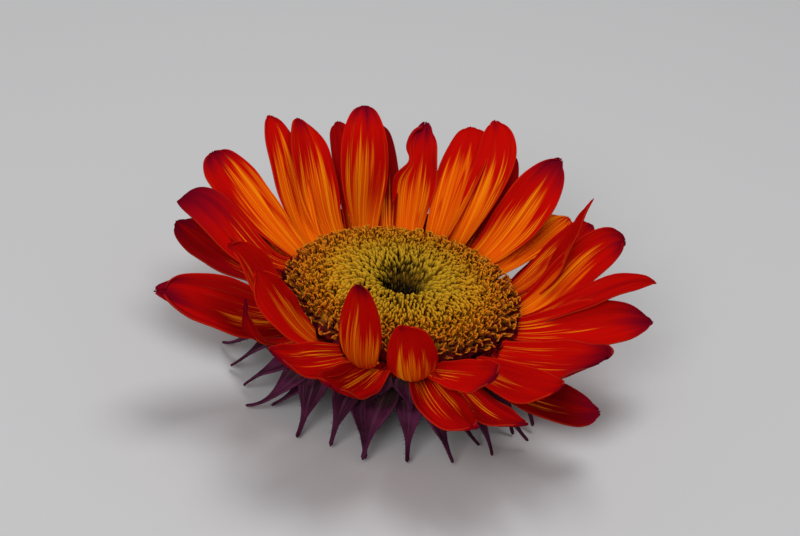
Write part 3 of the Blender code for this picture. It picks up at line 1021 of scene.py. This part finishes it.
@dataclass
class FloretDisc:
    """The disc of florets, which stand on a low dome with a dimple in its middle.

    florets is the number of places along the spiral, and every second place at the rim stays empty.
    The four radii from bud_radius on are the borders between the stages, and far_side is how much
    yellower, as if less ripe, the florets at the far side are painted: painted light, for the light
    that falls on that side. The ground lies sunk below the smooth surface and rises by rim_lift
    towards the edge.
    """

    radius: float = 28.8
    foot_radius: float = 28.2
    bottom: float = 19.1
    lip: float = 21.6
    edge: float = 22.2
    crown: float = 6.2
    dimple_radius: float = 5.5
    dimple_depth: float = 7.0
    sunk: float = 2.2
    rim_lift: float = 1.8
    florets: int = 2300
    margin: float = 0.6
    far_side: float = 0.9
    crowding: float = 0.55
    bud_radius: float = 4.3
    upright_radius: float = 11.5
    opening_radius: float = 17.5
    rim_radius: float = 25.2
    chaff: int = 620
    chaff_band: Pair = (24.5, 30.8)
    chaff_length: Pair = (1.9, 2.9)
    chaff_radii: Pair = (0.34, 0.05)
    ring_top: float = 21.2
    sides: int = 96

    def height(self, radius: float) -> float:
        """The height of the disc's smooth surface at a radius, in millimetres."""
        share = min(radius / self.radius, 0.995)
        dip = self.dimple_depth * math.exp(-((radius / self.dimple_radius) ** 3))
        return self.edge + self.crown * math.sqrt(1 - share**3) - dip

    def ground(self, radius: float) -> float:
        """The height of the ground that the florets stand on, in millimetres."""
        return self.height(radius) - self.sunk + self.rim_lift * smoothstep((radius - 19) / 8)

    def upright(self, radius: float, angle: float) -> Vector:
        """The direction that stands square on the surface at a place."""
        step = 0.2
        slope = (self.height(radius + step) - self.height(max(radius - step, 0))) / (2 * step)
        return (UP - round_about(angle) * slope).normalized()

    def build(self) -> None:
        """Builds the dome, the chaff and the florets of each stage."""
        self._dome()
        self._chaff()
        skin = FloretSkin().material()
        for stage in FloretStage:
            self._stand(stage, skin)

    def _dome(self) -> None:
        """Builds the ground that the florets stand on."""
        shape = bmesh.new()
        ripe = trait_layer(shape, "ripe")
        radii = [self.radius * share / 40 for share in range(41)]
        profile = [(radius, self.ground(radius)) for radius in radii]
        profile += [(self.radius, self.lip), (self.foot_radius, self.lip)]
        profile += [(self.foot_radius, self.bottom), (0, self.bottom)]
        for vertex in turned(shape, profile, self.sides):
            vertex[ripe] = vertex.co.xy.length / (self.radius * MM)
        make_piece("disc_ground", shape, "floret_disc", ChaffSkin().material())

    def _chaff(self) -> None:
        """Builds the dark red pointed scales round the edge of the disc."""
        draw = random.Random(5)
        shape = bmesh.new()
        ripe = trait_layer(shape, "ripe")
        for number in range(self.chaff):
            angle = number * GOLDEN_ANGLE
            radius = mix(self.chaff_band, draw.random() ** 0.7)
            level = self.ground(radius) if radius < self.radius else self.ring_top
            foot = round_about(angle) * radius + UP * level
            way = self.upright(radius, angle) + round_about(draw.uniform(*ANY_TURN)) * 0.25
            spread = mix((0.2, 1.1), smoothstep((radius - 26) / 2.6))
            spread *= 1 - 0.7 * smoothstep((radius - self.radius) / 1.5)
            way = (way + round_about(angle) * spread).normalized()
            length = draw.uniform(*self.chaff_length) * MM
            for vertex in spike(shape, foot * MM, way, length, self.chaff_radii, 4, 0.5):
                vertex[ripe] = 1.0
        make_piece("chaff", shape, "floret_disc", ChaffSkin().material())

    def _stage_at(self, radius: float) -> FloretStage:
        """How far the florets at a radius have opened."""
        limits = (self.bud_radius, self.upright_radius, self.opening_radius, self.rim_radius)
        return list(FloretStage)[sum(radius >= limit for limit in limits)]

    def _stand(self, stage: FloretStage, skin: bpy.types.Material) -> None:
        """Builds all florets of one stage.

        Args:
            stage: how far they have opened.
            skin: the florets' material.
        """
        draw = random.Random(stage.name)
        shape = bmesh.new()
        ripe = trait_layer(shape, "ripe")
        lot = trait_layer(shape, "lot")
        stage.value.build(shape)
        model = list(shape.verts)
        pattern = [*model, *shape.edges, *shape.faces]
        for number in range(self.florets):
            radius = (self.radius - self.margin) * ((number + 0.5) / self.florets) ** self.crowding
            # The borders between the stages are uneven by up to a tenth of their radius.
            uneven = 0.9 + number * 7 % 11 * 0.02
            thinned_out = stage is FloretStage.RIM and number % 2
            if self._stage_at(radius * uneven) is not stage or thinned_out:
                continue
            angle = number * GOLDEN_ANGLE
            grown = bmesh.ops.duplicate(shape, geom=pattern)["geom"]
            points = [part for part in grown if isinstance(part, bmesh.types.BMVert)]
            setting = self._setting(stage, radius, angle, draw)
            bmesh.ops.transform(shape, matrix=setting, verts=points)
            # Florets at the far side are painted yellower, as if less ripe, as in the photograph:
            # this is painted light, for the light that falls on that side.
            own = draw.random() - self.far_side * max(math.sin(angle), 0) ** 2
            for vertex in points:
                vertex[ripe] = radius / self.radius
                vertex[lot] = own
        bmesh.ops.delete(shape, geom=model, context="VERTS")
        make_piece(f"florets_{stage.name.lower()}", shape, "floret_disc", skin)

    def _setting(
        self, stage: FloretStage, radius: float, angle: float, draw: random.Random
    ) -> Matrix:
        """Where a floret stands and how it leans.

        Args:
            stage: how far it has opened.
            radius: its place out from the middle, in millimetres.
            angle: its place round the disc, in radians.
            draw: the draws for its small differences.

        Returns:
            The matrix that puts the pattern floret there.
        """
        outward = round_about(angle)
        off_buds = smoothstep((radius - self.bud_radius) / 3)
        off_dimple = smoothstep((radius - 6.5) / 4)
        off_middle = smoothstep((radius - 9) / 6)
        at_rim = smoothstep((radius - 25) / 3.2)
        lean = mix((-0.05, 0.2), off_buds) - 0.15 * off_middle + 0.7 * at_rim
        axis = UP.lerp(self.upright(radius, angle), off_dimple) + outward * lean
        axis += round_about(draw.uniform(*ANY_TURN)) * draw.uniform(0, 0.22)
        axis = axis.normalized()
        outwards = stage in (FloretStage.UPRIGHT, FloretStage.OPENING)
        faces = angle + draw.uniform(-0.6, 0.6) if outwards else draw.uniform(*ANY_TURN)
        beside = axis.cross(round_about(faces)).normalized()
        facing = beside.cross(axis)
        size = draw.uniform(0.88, 1.12) * MM * mix((0.5, 1.0), smoothstep((radius - 3.2) / 2.4))
        turn = Matrix((facing, beside, axis)).transposed().to_4x4()
        foot = outward * radius + UP * (self.ground(radius) - 0.4)
        return Matrix.Translation(foot * MM) @ turn @ Matrix.Scale(size, 4)


@dataclass
class BractCup:
    """The cup under the bloom with its bracts, which reach down to the surface.

    roots gives the radius and height at which each row of bracts grows. seen holds the bracts that
    the photograph shows, each with the number of its row, fitted to points picked along their
    middle lines. The other bracts follow rules: those called back go round the far half, and
    those called top are short and cover the cup's wall just below the petals.
    """

    bottom: float = 6.3
    top: float = 18.8
    radius: float = 31.0
    foot_radius: float = 8.61
    side: tuple[Pair, ...] = ((1, 1), (0.99, 0.84), (0.9, 0.56), (0.7, 0.28), (0.45, 0.09))
    ribs: int = 27
    rib: float = 0.2
    thickness: float = 0.55
    rows: int = 36
    columns: int = 12
    lowest: float = 0.45
    skin: StemSkin = StemSkin(
        green=(0.05, 0.045, 0.02), pale=(0.075, 0.07, 0.03), purple=(0.03, 0.007, 0.017)
    )
    roots: tuple[Pair, ...] = ((28.0, 14.2), (24.5, 11.0), (26.5, 13.0), (30.4, 18.3))
    seen: tuple[tuple[int, Blade], ...] = (
        (0, Blade(198, 24, 8, (-10, -40, -25), (0, -79))),
        (0, Blade(207, 21, 8.5, (-4, -46, -46), (-4, -61))),
        (2, Blade(219, 21.2, 8.5, (-8, -36, -57), (13, -79))),
        (0, Blade(229, 22.9, 8.5, (-6, -46, -19), (15, -67))),
        (1, Blade(233, 18.5, 7.5, (-2, -38, -41), (6, -63))),
        (0, Blade(234, 20.7, 9, (5, -59, -19), (24, 23))),
        (2, Blade(253, 19.4, 8, (1, -44, -70), (2, 3))),
        (1, Blade(258, 21.5, 8, (2, -29, -56), (3, 43))),
        (0, Blade(271, 20.8, 9, (1, -46, -70), (-14, -16))),
        (2, Blade(283, 19.4, 8, (1, -48, -48), (-10, 0))),
        (0, Blade(286, 21.3, 9, (0, -45, -56), (13, 53))),
        (1, Blade(296, 19.4, 7.5, (6, -39, -38), (21, 60))),
        (0, Blade(302, 22, 8.5, (2, -42, -70), (18, 40))),
    )
    back_lengths: tuple[float, ...] = (21.5, 19.0, 20.5)
    back_count: int = 19
    back_from: float = 320
    back_step: float = 11.5
    back_scatter: float = 1.5
    back_width: Pair = (8, 9.5)
    back_half_rise: Pair = (-46, -38)
    back_tip_rise: Pair = (-68, -35)
    back_turn: Pair = (10, 60)
    top_row: int = 3
    top_count: int = 27
    top_scatter: float = 0.2
    top_length: Pair = (7, 9)
    top_width: Pair = (8.5, 9.5)
    top_root_rise: float = -32
    top_half_rise: Pair = (-52, -44)
    top_tip_rise: Pair = (-62, -48)
    top_turn: Pair = (-14, 14)
    hairs: int = 44
    hair_length: Pair = (0.5, 1.1)

    def _bracts(self) -> Iterator[tuple[int, Blade]]:
        """Every bract with the number of its row, those at the back and the top drawn by rule."""
        yield from self.seen
        draw = random.Random(11)
        for number in range(self.back_count):
            row = number % len(self.back_lengths)
            scatter = draw.uniform(-self.back_scatter, self.back_scatter)
            azimuth = self.back_from + self.back_step * number + scatter
            rise = (0, draw.uniform(*self.back_half_rise), draw.uniform(*self.back_tip_rise))
            turn = draw.choice((-1, 1)) * draw.uniform(*self.back_turn)
            width = draw.uniform(*self.back_width)
            yield row, Blade(azimuth, self.back_lengths[row], width, rise, (0, turn))
        draw = random.Random(19)
        for number in range(self.top_count):
            scatter = draw.uniform(-self.top_scatter, self.top_scatter)
            azimuth = (number + scatter) * 360 / self.top_count
            length, width = draw.uniform(*self.top_length), draw.uniform(*self.top_width)
            slopes = (draw.uniform(*self.top_half_rise), draw.uniform(*self.top_tip_rise))
            rise = (self.top_root_rise, *slopes)
            yield self.top_row, Blade(azimuth, length, width, rise, (0, draw.uniform(*self.top_turn)))

    def keep_clear(self, point: Vector) -> Vector:
        """A bract's point, kept above the surface, along which its tail then lies."""
        return Vector((point.x, point.y, max(point.z, self.lowest * MM)))

    def build(self) -> None:
        """Builds the cup, its bracts and their hairs."""
        self._cup()
        skin = BractSkin().material()
        shape = bmesh.new()
        hairs = bmesh.new()
        draw = random.Random(3)
        for row, blade in self._bracts():
            radius, height = self.roots[row]
            blade = replace(blade, root_radius=radius, root_z=height)
            self._bract(shape, blade, draw)
            self._hairs(hairs, blade, draw)
        make_piece("bracts", shape, "bract_cup", skin, self.thickness * MM)
        make_piece("bract_hairs", hairs, "bract_cup", skin)

    def _cup(self) -> None:
        """Builds the shallow cup that the bracts grow from, with low ribs that fan out below."""
        height = self.top - self.bottom
        profile = [(0, self.top)]
        profile += [(self.radius * out, self.bottom + height * up) for out, up in self.side]
        profile += [(self.foot_radius, self.bottom), (0, self.bottom)]
        shape = bmesh.new()
        for vertex in turned(shape, profile, 8 * self.ribs):
            place = vertex.co
            off_stem = place.xy.length > 1.1 * self.foot_radius * MM
            if off_stem and place.z < 0.99 * self.top * MM:
                place.z += self.rib * MM * math.cos(self.ribs * math.atan2(place.y, place.x))
        make_piece("cup", shape, "bract_cup", self.skin.material())

    def _bract(self, shape: bmesh.types.BMesh, blade: Blade, draw: random.Random) -> None:
        """Adds one bract.

        Args:
            shape: the bracts' mesh.
            blade: its form.
            draw: the draws for its small differences.
        """
        phase = draw.uniform(*ANY_TURN)

        def relief(across: float, s: float) -> float:
            """A keel along the middle, ribs beside it and a slight wave at the edges."""
            keel = -0.35 * math.exp(-((across / 0.16) ** 2)) * (1 - s)
            rib = 0.05 * math.cos(math.pi * 5 * across)
            return keel + rib + 0.25 * math.sin(9 * s + phase) * abs(across) ** 2 * (1 - s)

        def notch(across: float) -> float:
            """The tip has no teeth."""
            return 0.0

        sheet = Sheet(
            blade, BladeKind.BRACT, self.rows, self.columns, self.keep_clear, relief, notch
        )
        sheet.build(shape, {"lot": draw.uniform(0, 50)})

    def _hairs(self, shape: bmesh.types.BMesh, blade: Blade, draw: random.Random) -> None:
        """Adds the short hairs along a bract's two edges and its keel.

        Args:
            shape: the hairs' mesh.
            blade: the bract.
            draw: the draws for their places.
        """
        steps = 60
        line = blade.middle_line(steps)
        for _ in range(self.hairs):
            s = draw.uniform(0.12, 0.9)
            point, forward, side, face = line[int(s * steps)]
            edge = draw.choice((-1, 0, 1))
            beside, lifted = blade.section(BladeKind.BRACT, s, edge)
            foot = self.keep_clear(point + side * beside + face * lifted)
            way = side * edge - face * (1.0 if edge == 0 else 0.2)
            way = (way + forward * draw.uniform(0.3, 0.9)).normalized()
            way.z = max(way.z, -0.2)
            spike(shape, foot, way.normalized(), draw.uniform(*self.hair_length) * MM)


@dataclass
class StemStub:
    """The stub of the stem, ribbed and hairy, cut off square."""

    radius: float = 6.6
    top_radius: float = 8.2
    height: float = 6.0
    ribs: int = 9
    rib_depth: float = 0.03
    fine_ribs: int = 27
    fine_depth: float = 0.008
    levels: int = 12
    bevel: float = 0.15
    cut_rings: tuple[float, ...] = (5.3, 4.9, 2.5, 0)
    hairs: int = 150
    hair_length: Pair = (0.6, 1.3)

    def _rib(self, angle: float) -> float:
        """How far the ribs push the side out at an angle, as a factor."""
        fine = self.fine_depth * math.cos(self.fine_ribs * angle)
        return 1 + self.rib_depth * math.cos(self.ribs * angle) + fine

    def _side(self, share: float) -> float:
        """The smooth radius at a share of the height."""
        return mix((self.radius, self.top_radius), smoothstep((share - 0.2) / 0.8) ** 1.3)

    def build(self) -> None:
        """Builds the stub and its hairs."""
        profile = [(0, self.height)]
        shares = [level / self.levels for level in range(self.levels, 0, -1)]
        profile += [(self._side(share), self.height * share) for share in shares]
        profile += [(self.radius, self.bevel), (self.radius - self.bevel, 0)]
        profile += [(radius, 0) for radius in self.cut_rings]
        shape = bmesh.new()
        for vertex in turned(shape, profile, 4 * self.fine_ribs):
            level = vertex.co.xy * self._rib(math.atan2(vertex.co.y, vertex.co.x))
            vertex.co.x, vertex.co.y = level
        skin = StemSkin().material()
        make_piece("stub", shape, "stem_stub", skin)
        draw = random.Random(8)
        hairs = bmesh.new()
        for _ in range(self.hairs):
            angle = draw.uniform(0, 2 * math.pi)
            share = draw.uniform(0.15, 0.9)
            outward = round_about(angle)
            foot = outward * self._side(share) * self._rib(angle) + UP * self.height * share
            way = (outward + UP * draw.uniform(-0.5, 0.1)).normalized()
            spike(hairs, foot * MM, way, draw.uniform(*self.hair_length) * MM)
        make_piece("stub_hairs", hairs, "stem_stub", skin)


@dataclass(frozen=True)
class Viewpoint:
    """Where the photograph was taken from, in millimetres, degrees and the picture's pixels."""

    distance: float = 450
    elevation: float = 31.0
    roll: float = 9.2
    scale: float = 0.2553
    aim: tuple[float, float, float] = (0, 0, 23.4)
    aim_pixel: Pair = (401.4, 293.8)
    picture: tuple[int, int] = (800, 536)
    sensor: float = 36

    def build(self) -> None:
        """Adds the camera, which looks from the front and leans a little to the left."""
        elevation, roll = math.radians(self.elevation), math.radians(self.roll)
        forward = Vector((0, math.cos(elevation), -math.sin(elevation)))
        right = Vector((1, 0, 0))
        upward = right.cross(forward)
        right, upward = (
            right * math.cos(roll) + upward * math.sin(roll),
            upward * math.cos(roll) - right * math.sin(roll),
        )
        wide, high = self.picture
        place = Vector(self.aim) - forward * self.distance
        place -= right * (self.aim_pixel[0] - wide / 2) * self.scale
        place += upward * (self.aim_pixel[1] - high / 2) * self.scale
        turn = Matrix((right, upward, -forward)).transposed().to_4x4()
        data = bpy.data.cameras.new("camera")
        data.sensor_width = self.sensor
        data.lens = self.sensor * self.distance / (wide * self.scale)
        data.clip_start = 0.01
        camera = put("camera", data)
        camera.matrix_world = Matrix.Translation(place * MM) @ turn
        bpy.context.scene.camera = camera


@dataclass(frozen=True)
class Lamp:
    """One large soft lamp: its place and size in metres, and its power in watts."""

    name: str
    place: tuple[float, float, float]
    size: float
    power: float

    def build(self) -> None:
        """Adds the lamp, aimed at the bloom."""
        data = bpy.data.lights.new(self.name, "AREA")
        data.shape = "DISK"
        data.size = self.size
        data.energy = self.power
        lamp = put(self.name, data)
        lamp.location = self.place
        lamp.rotation_euler = (-Vector(self.place)).to_track_quat("-Z", "Y").to_euler()


@dataclass
class Studio:
    """The pale floor, the soft lamps and the grey surroundings."""

    floor_colour: Colour = (0.62, 0.62, 0.63)
    floor_size: float = 6.0
    floor_drop: float = 0.05
    sky: float = 0.24
    lamps: tuple[Lamp, ...] = (
        Lamp("lamp_over", (0.1, 0.2, 0.9), 0.5, 3.6),
        Lamp("lamp_front", (-0.3, -0.85, 0.7), 0.6, 5.6),
    )

    def build(self) -> None:
        """Builds the floor, the lamps and the surroundings."""
        shape = bmesh.new()
        bmesh.ops.create_grid(shape, x_segments=1, y_segments=1, size=self.floor_size / 2)
        mesh = bpy.data.meshes.new("floor")
        shape.to_mesh(mesh)
        shape.free()
        mesh.transform(Matrix.Translation((0, 0, -self.floor_drop * MM)))
        graph = Graph("floor_paint")
        graph.feed(graph.shader.inputs["Base Color"], self.floor_colour)
        graph.feed(graph.shader.inputs["Roughness"], 0.9)
        mesh.materials.append(graph.material)
        floor = put("floor", mesh)
        for lamp in self.lamps:
            lamp.build()
        world = bpy.data.worlds.new("surroundings")
        world.use_nodes = True
        background = world.node_tree.nodes["Background"]
        background.inputs["Color"].default_value = (1, 1, 1, 1)
        background.inputs["Strength"].default_value = self.sky
        bpy.context.scene.world = world
        bpy.context.scene.view_settings.view_transform = "Standard"


def main() -> None:
    """Builds the bloom, the studio and the camera, and notes the sizes."""
    logging.basicConfig(level=logging.INFO, format="%(name)s %(message)s")
    StemStub().build()
    BractCup().build()
    PetalRing().build()
    FloretDisc().build()
    Studio().build()
    Viewpoint().build()
    bpy.context.view_layer.update()


if __name__ == "__main__":
    main()
